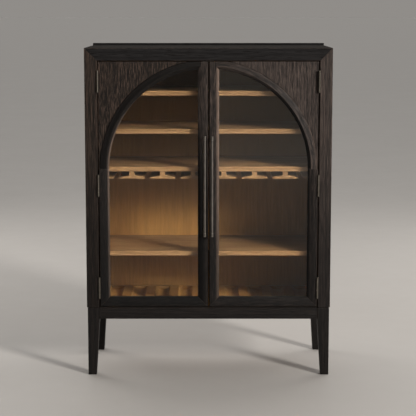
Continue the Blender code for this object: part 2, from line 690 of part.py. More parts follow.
def make_hinges(name, side, hinge, finishes):
    """Butt hinges in the gap: a frame leaf that carries the pin, and a door leaf that turns on it."""
    metal = finishes["dark_metal"]
    spread = (DOOR_MIDDLE_Z - DOOR_BOTTOM_Z - HINGE_MARGIN) * 2 / (HINGES_PER_DOOR - 1)
    axis = (side * HINGE_AXIS_X, HINGE_AXIS_Y, 0)
    upright = placed(axis, X_AXIS, Y_AXIS, Z_AXIS)
    for i in range(HINGES_PER_DOOR):
        spans = knuckle_spans(DOOR_BOTTOM_Z + HINGE_MARGIN + i * spread)
        flat = placed(axis, Y_AXIS, Z_AXIS, (side, 0, 0))
        frame_leaf = run(leaf_outline(spans, 0), flat, LEAF_PLAY, LEAF_PLAY + LEAF_THICKNESS)
        leaf = link(f"{name}_frame_leaf_{i + 1}", frame_leaf, metal)
        profile = []
        for low, high in spans[0::2]:
            profile += [(PIN_RADIUS, low), (BARREL_RADIUS, low), (BARREL_RADIUS, high), (PIN_RADIUS, high)]
        barrel = bmesh.new()
        turn(barrel, profile[1:-1], BARREL_SIDES)
        barrel.transform(upright)
        combine(leaf, tool(f"{name}_pin_{i + 1}", barrel), "UNION")

        flat = placed(axis, Y_AXIS, Z_AXIS, (-side, 0, 0))
        door_leaf = run(leaf_outline(spans, 1), flat, LEAF_PLAY, LEAF_PLAY + LEAF_THICKNESS)
        leaf = link(f"{name}_door_leaf_{i + 1}", door_leaf, metal, hinge)
        bore = PIN_RADIUS + PIN_PLAY
        rings = bmesh.new()
        for low, high in spans[1::2]:
            section = ((bore, low), (BARREL_RADIUS, low), (BARREL_RADIUS, high), (bore, high))
            turn(rings, section, BARREL_SIDES, bored=True)
        rings.transform(upright)
        combine(leaf, tool(f"{name}_knuckles_{i + 1}", rings, hinge), "UNION")


def make_catch(finishes):
    """Double magnetic catch under the top."""
    front = FRONT_Y + DOOR_THICKNESS + STRIKE_THICKNESS + 2 * FIT_GAP
    high = CEILING_Z - FIT_GAP
    half = CATCH_WIDTH / 2
    place = placed((-half, front, 0), X_AXIS, Y_AXIS, Z_AXIS)
    body = run(eased(CATCH_WIDTH, CATCH_DEPTH), place, high - CATCH_HEIGHT, high)
    link("magnetic_catch", body, finishes["dark_metal"])


def make_strike(name, side, hinge, finishes):
    """Steel plate on the back of the meeting stile, opposite the catch."""
    edge = side * (MEETING_EDGE_X + STRIKE_MARGIN)
    low = DOOR_TOP_Z - STRIKE_MARGIN - STRIKE_HEIGHT
    place = placed((edge, FRONT_Y + DOOR_THICKNESS + FIT_GAP, low), (side, 0, 0), Z_AXIS, Y_AXIS)
    plate = run(eased(STRIKE_WIDTH, STRIKE_HEIGHT), place, 0, STRIKE_THICKNESS)
    link(f"{name}_strike_plate", plate, finishes["steel"], hinge)


def make_door(name, side, finishes):
    """One glazed door, all of it under an empty on its hinge axis."""
    hinge = bpy.data.objects.new(f"{name}_door_axis", None)
    hinge.location = (side * HINGE_AXIS_X, HINGE_AXIS_Y, DOOR_BOTTOM_Z)
    bpy.context.scene.collection.objects.link(hinge)
    make_stiles(name, side, hinge, finishes)
    make_bottom_rail(name, side, hinge, finishes)
    make_arch_band(name, side, hinge, finishes)
    make_spandrel(name, side, hinge, finishes)
    make_glazing(name, side, hinge, finishes)
    make_handle(name, side, hinge, finishes)
    make_hinges(name, side, hinge, finishes)
    make_strike(name, side, hinge, finishes)


def main():
    """Build the whole cabinet."""
    clear_scene()
    finishes = make_finishes()
    make_case(finishes)
    make_gallery(finishes)
    make_lining(finishes)
    make_shelves(finishes)
    make_stem_rack(finishes)
    make_cradle(finishes)
    make_legs(finishes)
    make_aprons(finishes)
    make_floor(finishes)
    make_catch(finishes)
    for name, side in SIDES.items():
        make_door(name, side, finishes)


main()
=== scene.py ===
"""Glazed bar cabinet: finished boards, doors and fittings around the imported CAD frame."""

import json
import logging
import math
from collections.abc import Sequence
from dataclasses import dataclass, field, replace
from enum import Enum

import bmesh
import bpy
from mathutils import Matrix, Vector

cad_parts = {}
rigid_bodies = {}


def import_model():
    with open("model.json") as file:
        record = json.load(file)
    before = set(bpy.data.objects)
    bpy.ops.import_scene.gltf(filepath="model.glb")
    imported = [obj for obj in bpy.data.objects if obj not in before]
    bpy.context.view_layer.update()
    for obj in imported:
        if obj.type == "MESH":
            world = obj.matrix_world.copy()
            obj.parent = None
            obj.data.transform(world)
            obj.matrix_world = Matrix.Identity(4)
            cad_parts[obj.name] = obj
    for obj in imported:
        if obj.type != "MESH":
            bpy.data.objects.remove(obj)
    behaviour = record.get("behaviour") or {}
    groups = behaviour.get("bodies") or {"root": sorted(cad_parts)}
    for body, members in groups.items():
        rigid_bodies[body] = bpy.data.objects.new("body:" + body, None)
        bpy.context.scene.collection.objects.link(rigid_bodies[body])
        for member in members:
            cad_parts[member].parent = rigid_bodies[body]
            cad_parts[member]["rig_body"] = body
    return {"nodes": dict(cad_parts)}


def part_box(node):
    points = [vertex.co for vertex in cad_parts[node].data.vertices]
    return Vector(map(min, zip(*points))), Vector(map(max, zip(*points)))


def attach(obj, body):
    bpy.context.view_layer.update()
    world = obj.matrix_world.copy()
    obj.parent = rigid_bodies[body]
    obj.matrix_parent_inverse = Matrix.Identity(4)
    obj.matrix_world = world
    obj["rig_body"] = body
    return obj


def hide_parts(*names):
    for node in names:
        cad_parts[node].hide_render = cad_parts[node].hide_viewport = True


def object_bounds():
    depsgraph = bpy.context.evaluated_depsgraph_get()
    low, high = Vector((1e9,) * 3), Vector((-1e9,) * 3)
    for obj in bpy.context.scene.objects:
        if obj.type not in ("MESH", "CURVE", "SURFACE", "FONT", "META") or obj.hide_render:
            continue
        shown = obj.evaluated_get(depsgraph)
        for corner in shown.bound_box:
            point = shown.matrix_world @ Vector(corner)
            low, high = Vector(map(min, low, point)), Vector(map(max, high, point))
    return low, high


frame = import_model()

LOG = logging.getLogger("cabinet")
CAD_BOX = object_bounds()
FRONT_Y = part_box("left_meeting_stile")[0].y
SPRING_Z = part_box("left_arch_band")[0].z

# Bench work: lengths in metres, angles in radians.
MERGE = 2e-6
FLAT = math.radians(0.3)
SHARP = math.radians(32)
SQUARE_ON = 0.99
SLOPE_DEPTH = 0.0065
SLOPE_FACING = (-0.95, -0.3)
# The height that a back panel's rear face takes, so that the painted light by height is even over it.
BACK_TONE = 0.6
# The painted slope light and shade's mark along the front edge of a door board's slope, next to 1 along its
# deep edge.
SLOPE_PAINT_FRONT = {
    "left_meeting_stile": 0.75,
    "right_meeting_stile": 0.75,
    "left_hinge_stile": 0.5,
    "left_arch_band": 0.5,
    "right_arch_band": 0.5,
}
# Where a board lies in the log, by axis: the first place, the step, and how many steps there are.
LOG_PLACES = ((0.05, 0.137, 7), (0.03, 0.071, 5), (0.0, 1.37, 11))

Mesh = bmesh.types.BMesh
Socket = bpy.types.NodeSocket
Material = bpy.types.Material
Colour = tuple[float, float, float]
Profile = list[tuple[float, float]]
Plug = Socket | float | tuple


class Grain(Enum):
    """The way the grain of a board runs."""

    UPRIGHT = "upright"
    ACROSS = "across"
    DEEP = "deep"
    ARCHED = "arched"


class Side(Enum):
    """A side of the cabinet, seen from the front."""

    LEFT = -1
    RIGHT = 1

    @property
    def word(self) -> str:
        """Return the side's word, as the node names have it."""
        return self.name.lower()


# The number of each door's first board.
DOOR_BOARDS = {Side.LEFT: 31, Side.RIGHT: 38}


# ---------------------------------------------------------------- node trees


class Graph:
    """Lays and links the nodes of one tree."""

    def __init__(self, tree: bpy.types.NodeTree) -> None:
        """Keep the tree that the nodes go into."""
        self.tree = tree

    def node(
        self, kind: str, plugs: dict[str | int, Plug] | None = None, **settings: object
    ) -> bpy.types.Node:
        """Add a node.

        Args:
            kind: Blender's name for the node type.
            plugs: what goes into its inputs, a socket or a plain value.
            settings: the node's own properties.

        Returns:
            The new node.
        """
        made = self.tree.nodes.new(kind)
        for key, value in settings.items():
            setattr(made, key, value)
        for key, value in (plugs or {}).items():
            self.feed(made.inputs[key], value)
        return made

    def feed(self, socket: Socket, value: Plug) -> None:
        """Link a socket to an input, or set the input's plain value.

        Args:
            socket: the input.
            value: the socket or the plain value that goes into it.
        """
        if isinstance(value, Socket):
            self.tree.links.new(value, socket)
        else:
            socket.default_value = value

    def maths(self, operation: str, first: Plug, second: Plug, clamp: bool = False) -> Socket:
        """Return the result of a sum on two values."""
        plugs = {0: first, 1: second}
        return self.node("ShaderNodeMath", plugs, operation=operation, use_clamp=clamp).outputs[0]

    def times(self, first: Plug, second: Plug) -> Socket:
        """Return two values multiplied."""
        return self.maths("MULTIPLY", first, second)

    def vectors(self, operation: str, first: Plug, second: Plug) -> Socket:
        """Return the vector result of a sum on two vectors."""
        return self.node("ShaderNodeVectorMath", {0: first, 1: second}, operation=operation).outputs[0]

    def pulled(self, place: Plug, third: Plug) -> Socket:
        """Return a place with its third axis scaled, so that a pattern draws out along it."""
        axes = self.node("ShaderNodeCombineXYZ", {0: 1.0, 1: 1.0, 2: third}).outputs[0]
        return self.vectors("MULTIPLY", place, axes)

    def mark(self, name: str, output: str = "Fac") -> Socket:
        """Return a mark that the mesh carries as an attribute."""
        return self.node("ShaderNodeAttribute", attribute_name=name).outputs[output]

    def noise(
        self, place: Plug, scale: Plug, detail: float = 2.0, rough: float = 0.5, colour: bool = False
    ) -> Socket:
        """Add a noise texture.

        Args:
            place: the point that it reads.
            scale: how many lumps there are to a metre.
            detail: how many finer octaves it has.
            rough: how strong the finer octaves are.
            colour: give three noises in place of one.

        Returns:
            The noise's value, or its colour.
        """
        plugs = {"Vector": place, "Scale": scale, "Detail": detail, "Roughness": rough}
        return self.node("ShaderNodeTexNoise", plugs).outputs["Color" if colour else "Fac"]

    def between(self, value: Plug, low: Plug, high: Plug) -> Socket:
        """Return 0 below low, 1 above high, and a smooth rise from one to the other."""
        plugs = {"Value": value, "From Min": low, "From Max": high}
        return self.node("ShaderNodeMapRange", plugs, interpolation_type="SMOOTHSTEP").outputs["Result"]

    def spread(self, value: Plug, low: Plug, high: Plug) -> Socket:
        """Return a value from 0 to 1 laid out from low to high."""
        plugs = {"Value": value, "To Min": low, "To Max": high}
        return self.node("ShaderNodeMapRange", plugs).outputs["Result"]

    def mix(self, share: Plug, first: Plug, second: Plug, blend: str = "MIX") -> Socket:
        """Mix two colours.

        Args:
            share: how much of the second colour there is.
            first: the first colour.
            second: the second colour.
            blend: Blender's name for the way that they mix.

        Returns:
            The mixed colour.
        """
        # The node's colours go into its sockets 6 and 7, and come out of 2.
        made = self.node("ShaderNodeMix", {0: share, 6: first, 7: second}, data_type="RGBA", blend_type=blend)
        return made.outputs[2]

    def bump(self, height: Socket, strength: float, distance: float) -> Socket:
        """Return the normal of a surface with a fine relief."""
        plugs = {"Strength": strength, "Distance": distance, "Height": height}
        return self.node("ShaderNodeBump", plugs).outputs["Normal"]


def new_group(
    name: str, takes: dict[str, str], gives: dict[str, str]
) -> tuple[bpy.types.NodeTree, Graph, bpy.types.Node, bpy.types.Node]:
    """Start a shader node group.

    Args:
        name: the group's name.
        takes: its inputs, each with its socket type.
        gives: its outputs, each with its socket type.

    Returns:
        The tree, a graph to lay nodes in it, and its input and output nodes.
    """
    tree = bpy.data.node_groups.new(name, "ShaderNodeTree")
    for way, sockets in (("INPUT", takes), ("OUTPUT", gives)):
        for key, kind in sockets.items():
            tree.interface.new_socket(name=key, in_out=way, socket_type=kind)
    graph = Graph(tree)
    return tree, graph, graph.node("NodeGroupInput"), graph.node("NodeGroupOutput")


VALUE, VECTOR, COLOUR = "NodeSocketFloat", "NodeSocketVector", "NodeSocketColor"


class Effects:
    """The node groups that the finishes share."""

    # Oak grain: how far the rings wander and lean, where each mask begins and is full, and the shares.
    drift_scale = 3.2
    drift_pull = 0.3
    ring_drift = (0.02, 0.02, 0.0)
    ring_lean = 0.012
    rings_seen = (0.32, 0.68)
    fibres_seen = (0.30, 0.72)
    pores_seen = (0.56, 0.66)
    pores_by_ring = (0.55, 1.0)
    cloud_scale = 9.0
    cloud_pull = 0.12
    cloud_share = 0.45
    fibre_share = 0.55
    fibre_rise = 0.5
    # Edge wear, and dust that also paints the top's sheen.
    wear_scale = 55.0
    wear_seen = (0.30, 0.62)
    dust_facing = (0.6, 1.0)
    dust_scale = 38.0
    dust_spread = (0.35, 1.0)
    dust_colour = (0.36, 0.33, 0.30)

    def __init__(self) -> None:
        """Build each group once."""
        self.grain = self.oak_grain()
        self.wear = self.edge_wear()
        self.dust = self.settled_dust()

    def oak_grain(self) -> bpy.types.NodeTree:
        """Open-pored oak: year rings, long fibre streaks and short pores along the third axis.

        Returns:
            The node group.
        """
        tree, g, taken, given = new_group(
            "oak_grain",
            {
                "Vector": VECTOR,
                "Ring Scale": VALUE,
                "Ring Share": VALUE,
                "Streak Scale": VALUE,
                "Streak Pull": VALUE,
                "Pore Scale": VALUE,
                "Pore Pull": VALUE,
            },
            {"Tone": VALUE, "Streak": VALUE, "Pores": VALUE, "Height": VALUE},
        )
        place = taken.outputs["Vector"]
        drift = g.noise(g.pulled(place, self.drift_pull), self.drift_scale, colour=True)
        drift = g.vectors("MULTIPLY", g.vectors("SUBTRACT", drift, (0.5, 0.5, 0.5)), self.ring_drift)
        bent = g.vectors("ADD", place, drift)
        radius = g.node("ShaderNodeVectorMath", {0: g.pulled(bent, 0.0)}, operation="LENGTH").outputs["Value"]
        along = g.node("ShaderNodeSeparateXYZ", {0: place}).outputs["Z"]
        radius = g.maths("ADD", radius, g.times(along, self.ring_lean))
        rings = g.node(
            "ShaderNodeTexNoise",
            {"W": g.times(radius, taken.outputs["Ring Scale"]), "Scale": 1.0, "Detail": 1.0},
            noise_dimensions="1D",
        ).outputs["Fac"]
        rings = g.between(rings, *self.rings_seen)
        cloud = g.noise(g.pulled(bent, self.cloud_pull), self.cloud_scale, detail=3)
        fibre = g.pulled(bent, taken.outputs["Streak Pull"])
        fibre = g.noise(fibre, taken.outputs["Streak Scale"], detail=5, rough=0.62)
        fibre = g.between(fibre, *self.fibres_seen)
        fleck = g.noise(g.pulled(bent, taken.outputs["Pore Pull"]), taken.outputs["Pore Scale"])
        pores = g.times(g.between(fleck, *self.pores_seen), g.spread(rings, *self.pores_by_ring))
        rest = g.maths("ADD", g.times(cloud, self.cloud_share), g.times(fibre, self.fibre_share))
        share = taken.outputs["Ring Share"]
        tone = g.times(rest, g.maths("SUBTRACT", 1.0, share))
        tone = g.maths("ADD", tone, g.times(rings, share))
        height = g.maths("SUBTRACT", g.times(fibre, self.fibre_rise), pores)
        for key, value in {"Tone": tone, "Streak": fibre, "Pores": pores, "Height": height}.items():
            g.feed(given.inputs[key], value)
        return tree

    def edge_wear(self) -> bpy.types.NodeTree:
        """Patchy rubbing along softened edges.

        Returns:
            The node group.
        """
        tree, g, taken, given = new_group(
            "edge_wear",
            {
                "Vector": VECTOR,
                "Edge": VALUE,
                "Amount": VALUE,
                "Colour": COLOUR,
                "Worn Colour": COLOUR,
            },
            {"Colour": COLOUR},
        )
        patches = g.noise(taken.outputs["Vector"], self.wear_scale, detail=4, rough=0.6)
        mask = g.times(taken.outputs["Edge"], g.between(patches, *self.wear_seen))
        mask = g.times(mask, taken.outputs["Amount"])
        g.feed(given.inputs["Colour"], g.mix(mask, taken.outputs["Colour"], taken.outputs["Worn Colour"]))
        return tree

    def settled_dust(self) -> bpy.types.NodeTree:
        """A thin uneven film of dust on what faces up; on the top it also stands in for the top's sheen, as a
        painted sheen.

        Returns:
            The node group.
        """
        tree, g, taken, given = new_group(
            "settled_dust",
            {"Vector": VECTOR, "Amount": VALUE, "Colour": COLOUR},
            {"Colour": COLOUR},
        )
        up = g.node("ShaderNodeNewGeometry").outputs["Normal"]
        up = g.between(g.node("ShaderNodeSeparateXYZ", {0: up}).outputs["Z"], *self.dust_facing)
        clumps = g.noise(taken.outputs["Vector"], self.dust_scale, detail=5, rough=0.65)
        clumps = g.spread(clumps, *self.dust_spread)
        mask = g.times(g.times(up, clumps), taken.outputs["Amount"])
        g.feed(given.inputs["Colour"], g.mix(mask, taken.outputs["Colour"], solid(self.dust_colour)))
        return tree

    def rub_edges(self, g: Graph, place: Plug, colour: Plug, amount: float, worn: Colour) -> Socket:
        """Return a colour with the wear group's rubbing along the softened edges."""
        plugs = {"Vector": place, "Edge": g.mark("arris"), "Amount": amount, "Colour": colour}
        return use(g, self.wear, plugs | {"Worn Colour": solid(worn)}).outputs["Colour"]


def shade(name: str) -> tuple[Material, Graph, bpy.types.Node]:
    """Start a material.

    Args:
        name: the finish's name.

    Returns:
        The material, a graph to lay nodes in it, and its Principled shader.
    """
    material = bpy.data.materials.new(name)
    material.use_nodes = True
    graph = Graph(material.node_tree)
    shader = next(n for n in material.node_tree.nodes if n.type == "BSDF_PRINCIPLED")
    return material, graph, shader


def solid(colour: Colour) -> tuple[float, float, float, float]:
    """Return a colour with full cover."""
    return (*colour, 1.0)


def use(g: Graph, group: bpy.types.NodeTree, plugs: dict[str | int, Plug]) -> bpy.types.Node:
    """Place a node group in a material and feed it."""
    return g.node("ShaderNodeGroup", plugs, node_tree=group)


# ------------------------------------------------------------------- finishes

# Oak: where each mask begins and where it is full. Heights run from 0 at the floor to 1 at the top.
TONES = (0.22, 0.80)
STREAKS = (0.45, 1.0)
# Painted light by height: each finish's colour is scaled from its foot light below the first height to 1
# above the second.
PAINTED_LIGHT_HEIGHTS = (0.30, 0.85)
# Painted light on slopes that face right, toward the key light, by mark, streak and height; painted shade on
# slopes that face left, by mark and height.
SLOPE_LIT = (0.65, 1.0)
SLOPE_LIT_STREAKS = (0.5, 0.9)
SLOPE_LIT_HEIGHTS = (0.25, 0.70)
SLOPE_LIT_FOOT = 0.35
SLOPE_SHADED = (0.1, 0.6)
SLOPE_SHADED_HEIGHTS = (0.55, 0.85)
SLOPE_SHADE_SHARE = 0.95
# What the tone, the pores and the painted slope shade add to the roughness.
MATT_SPREAD = 0.08
PORE_MATT = 0.15
SLOPE_SHADE_MATT = 0.4


@dataclass(frozen=True)
class OakFinish:
    """An oak board's finish: its colours, and how strongly the grain shows."""

    name: str
    dark: Colour
    light: Colour
    streak: Colour
    pore: Colour
    # The colour of worn edges, which also paints the light on slopes that face right.
    worn: Colour
    streak_share: float = 0.5
    pore_share: float = 0.6
    wear: float = 0.5
    # Dust on what faces up; on the top it also stands in for the top's sheen, a painted sheen.
    dust: float = 0.1
    matt: float = 0.58
    relief: float = 0.35
    ring_scale: float = 90.0
    ring_share: float = 0.25
    streak_scale: float = 190.0
    streak_pull: float = 0.05
    pore_scale: float = 620.0
    pore_pull: float = 0.03
    gloss: float = 0.3
    ridge: float = 0.0006
    # Painted light by height: how light the colour is at the foot, next to 1 higher up.
    foot_tone: float = 1.0
    # How much of the painted slope shade stays at the top, next to all of it lower down.
    top_stain: float = 1.0

    def toned(self, name: str, factor: float, warmth: float = 0.0, **changes: object) -> "OakFinish":
        """Return this finish on a darker or lighter board.

        Args:
            name: the new finish's name.
            factor: how light its colours are next to this one's.
            warmth: how much redder they are, and how much less blue.
            changes: other fields, and colours that aren't toned.

        Returns:
            The new finish.
        """
        tint = (factor * (1 + warmth), factor, factor * (1 - warmth))
        colours = {}
        for key in ("dark", "light", "streak", "pore", "worn"):
            colours[key] = tuple(t * c for t, c in zip(tint, getattr(self, key)))
        return replace(self, name=name, **(colours | changes))

    def make(self, effects: Effects) -> Material:
        """Build the material.

        Args:
            effects: the shared node groups.

        Returns:
            The material.
        """
        material, g, shader = shade(self.name)
        place, rub, height = g.mark("grain", "Vector"), g.mark("rub"), g.mark("height")
        grain = use(
            g,
            effects.grain,
            {
                "Vector": place,
                "Ring Scale": self.ring_scale,
                "Ring Share": self.ring_share,
                "Streak Scale": self.streak_scale,
                "Streak Pull": self.streak_pull,
                "Pore Scale": self.pore_scale,
                "Pore Pull": self.pore_pull,
            },
        )
        tone, streaks, pores = (grain.outputs[name] for name in ("Tone", "Streak", "Pores"))
        colour = g.mix(g.between(tone, *TONES), solid(self.dark), solid(self.light))
        colour = g.mix(g.times(g.between(streaks, *STREAKS), self.streak_share), colour, solid(self.streak))
        # Painted light by height: the colour is scaled towards the foot, lighter or darker by the finish.
        painted_height_light = g.spread(g.between(height, *PAINTED_LIGHT_HEIGHTS), self.foot_tone, 1.0)
        colour = g.mix(1.0, colour, painted_height_light, "MULTIPLY")
        colour = g.mix(g.times(pores, self.pore_share), colour, solid(self.pore))
        # Painted light: slopes that face right, toward the key light, are painted paler along the streaks,
        # and less so near the foot.
        rubbed = g.times(g.between(rub, *SLOPE_LIT), g.spread(streaks, *SLOPE_LIT_STREAKS))
        rubbed = g.times(rubbed, g.spread(g.between(height, *SLOPE_LIT_HEIGHTS), SLOPE_LIT_FOOT, 1.0))
        colour = g.mix(rubbed, colour, solid(self.worn))
        # Painted shade: slopes that face left, away from the key light, are painted dark in the pore colour,
        # less so at the top where the finish says.
        slope_shade = g.between(g.times(rub, -1.0), *SLOPE_SHADED)
        slope_shade = g.times(slope_shade, g.spread(g.between(height, *SLOPE_SHADED_HEIGHTS), 1.0, self.top_stain))
        colour = g.mix(g.times(slope_shade, SLOPE_SHADE_SHARE), colour, solid(self.pore))
        colour = effects.rub_edges(g, place, colour, self.wear, self.worn)
        dusty = use(g, effects.dust, {"Vector": place, "Amount": self.dust, "Colour": colour})
        g.feed(shader.inputs["Base Color"], dusty.outputs["Colour"])
        rough = g.spread(tone, self.matt + MATT_SPREAD, self.matt - MATT_SPREAD)
        rough = g.maths("ADD", rough, g.times(pores, PORE_MATT))
        rough = g.maths("ADD", rough, g.times(slope_shade, SLOPE_SHADE_MATT), clamp=True)
        g.feed(shader.inputs["Roughness"], rough)
        shader.inputs["Specular IOR Level"].default_value = self.gloss
        g.feed(shader.inputs["Normal"], g.bump(grain.outputs["Height"], self.relief, self.ridge))
        return material


@dataclass(frozen=True)
class MetalFinish:
    """A metal's finish: its colour, its gloss, and how it is brushed."""

    name: str
    colour: Colour
    rubbed: Colour
    matt: float = 0.3
    wear: float = 0.6
    brush: float = 900.0
    brush_pull: float = 0.04
    brush_relief: float = 0.12
    brush_depth: float = 0.0002
    stain_scale: float = 42.0
    stain_tone: float = 0.7
    stain_seen: tuple[float, float] = (0.3, 0.75)

    def make(self, effects: Effects) -> Material:
        """Build the material.

        Args:
            effects: the shared node groups.

        Returns:
            The material.
        """
        material, g, shader = shade(self.name)
        place = g.node("ShaderNodeTexCoord").outputs["Object"]
        fine = g.noise(g.pulled(place, self.brush_pull), self.brush, detail=3, rough=0.6)
        stain = g.noise(place, self.stain_scale, detail=4, rough=0.6)
        dull = solid(tuple(self.stain_tone * c for c in self.colour))
        colour = g.mix(g.between(stain, *self.stain_seen), solid(self.colour), dull)
        g.feed(shader.inputs["Base Color"], effects.rub_edges(g, place, colour, self.wear, self.rubbed))
        rough = g.spread(fine, self.matt - MATT_SPREAD, self.matt + MATT_SPREAD)
        rough = g.maths("ADD", rough, g.times(stain, MATT_SPREAD))
        g.feed(shader.inputs["Roughness"], rough)
        shader.inputs["Metallic"].default_value = 1.0
        g.feed(shader.inputs["Normal"], g.bump(fine, self.brush_relief, self.brush_depth))
        return material


@dataclass(frozen=True)
class GlassFinish:
    """Clear float glass with a faint wave and light wiping marks."""

    name: str
    tint: Colour = (0.93, 0.95, 0.94)
    index: float = 1.3
    wave: float = 0.015
    wave_depth: float = 0.01
    wave_scale: float = 3.0
    wipe_scale: float = 11.0
    wipe_pull: float = 0.35
    wipe_seen: tuple[float, float] = (0.55, 0.8)
    wipe_matt: float = 0.02

    def make(self) -> Material:
        """Build the material, which lets the lights through to the inside.

        Returns:
            The material.
        """
        material, g, shader = shade(self.name)
        place = g.node("ShaderNodeTexCoord").outputs["Object"]
        wipe = g.noise(g.pulled(place, self.wipe_pull), self.wipe_scale, detail=4, rough=0.55)
        shader.inputs["Base Color"].default_value = solid(self.tint)
        shader.inputs["Transmission Weight"].default_value = 1.0
        shader.inputs["IOR"].default_value = self.index
        g.feed(shader.inputs["Roughness"], g.spread(g.between(wipe, *self.wipe_seen), 0.0, self.wipe_matt))
        swell = g.noise(place, self.wave_scale, detail=1, rough=0.4)
        g.feed(shader.inputs["Normal"], g.bump(swell, self.wave, self.wave_depth))
        clear = g.node("ShaderNodeBsdfTransparent", {"Color": solid(self.tint)})
        shadow = g.node("ShaderNodeLightPath").outputs["Is Shadow Ray"]
        both = g.node("ShaderNodeMixShader", {0: shadow, 1: shader.outputs[0], 2: clear.outputs[0]})
        output = next(n for n in material.node_tree.nodes if n.type == "OUTPUT_MATERIAL")
        g.feed(output.inputs["Surface"], both.outputs[0])
        return material


@dataclass(frozen=True)
class FloorFinish:
    """The pale studio floor."""

    name: str
    light: Colour = (0.50, 0.48, 0.46)
    dark: Colour = (0.455, 0.435, 0.415)
    cloud_scale: float = 1.4
    scuff_scale: float = 9.0
    matt: tuple[float, float] = (0.55, 0.75)

    def make(self) -> Material:
        """Build the material.

        Returns:
            The material.
        """
        material, g, shader = shade(self.name)
        place = g.node("ShaderNodeTexCoord").outputs["Object"]
        cloud = g.noise(place, self.cloud_scale, detail=4, rough=0.55)
        g.feed(shader.inputs["Base Color"], g.mix(cloud, solid(self.dark), solid(self.light)))
        scuffs = g.noise(place, self.scuff_scale, detail=3)
        g.feed(shader.inputs["Roughness"], g.spread(scuffs, *self.matt))
        return material


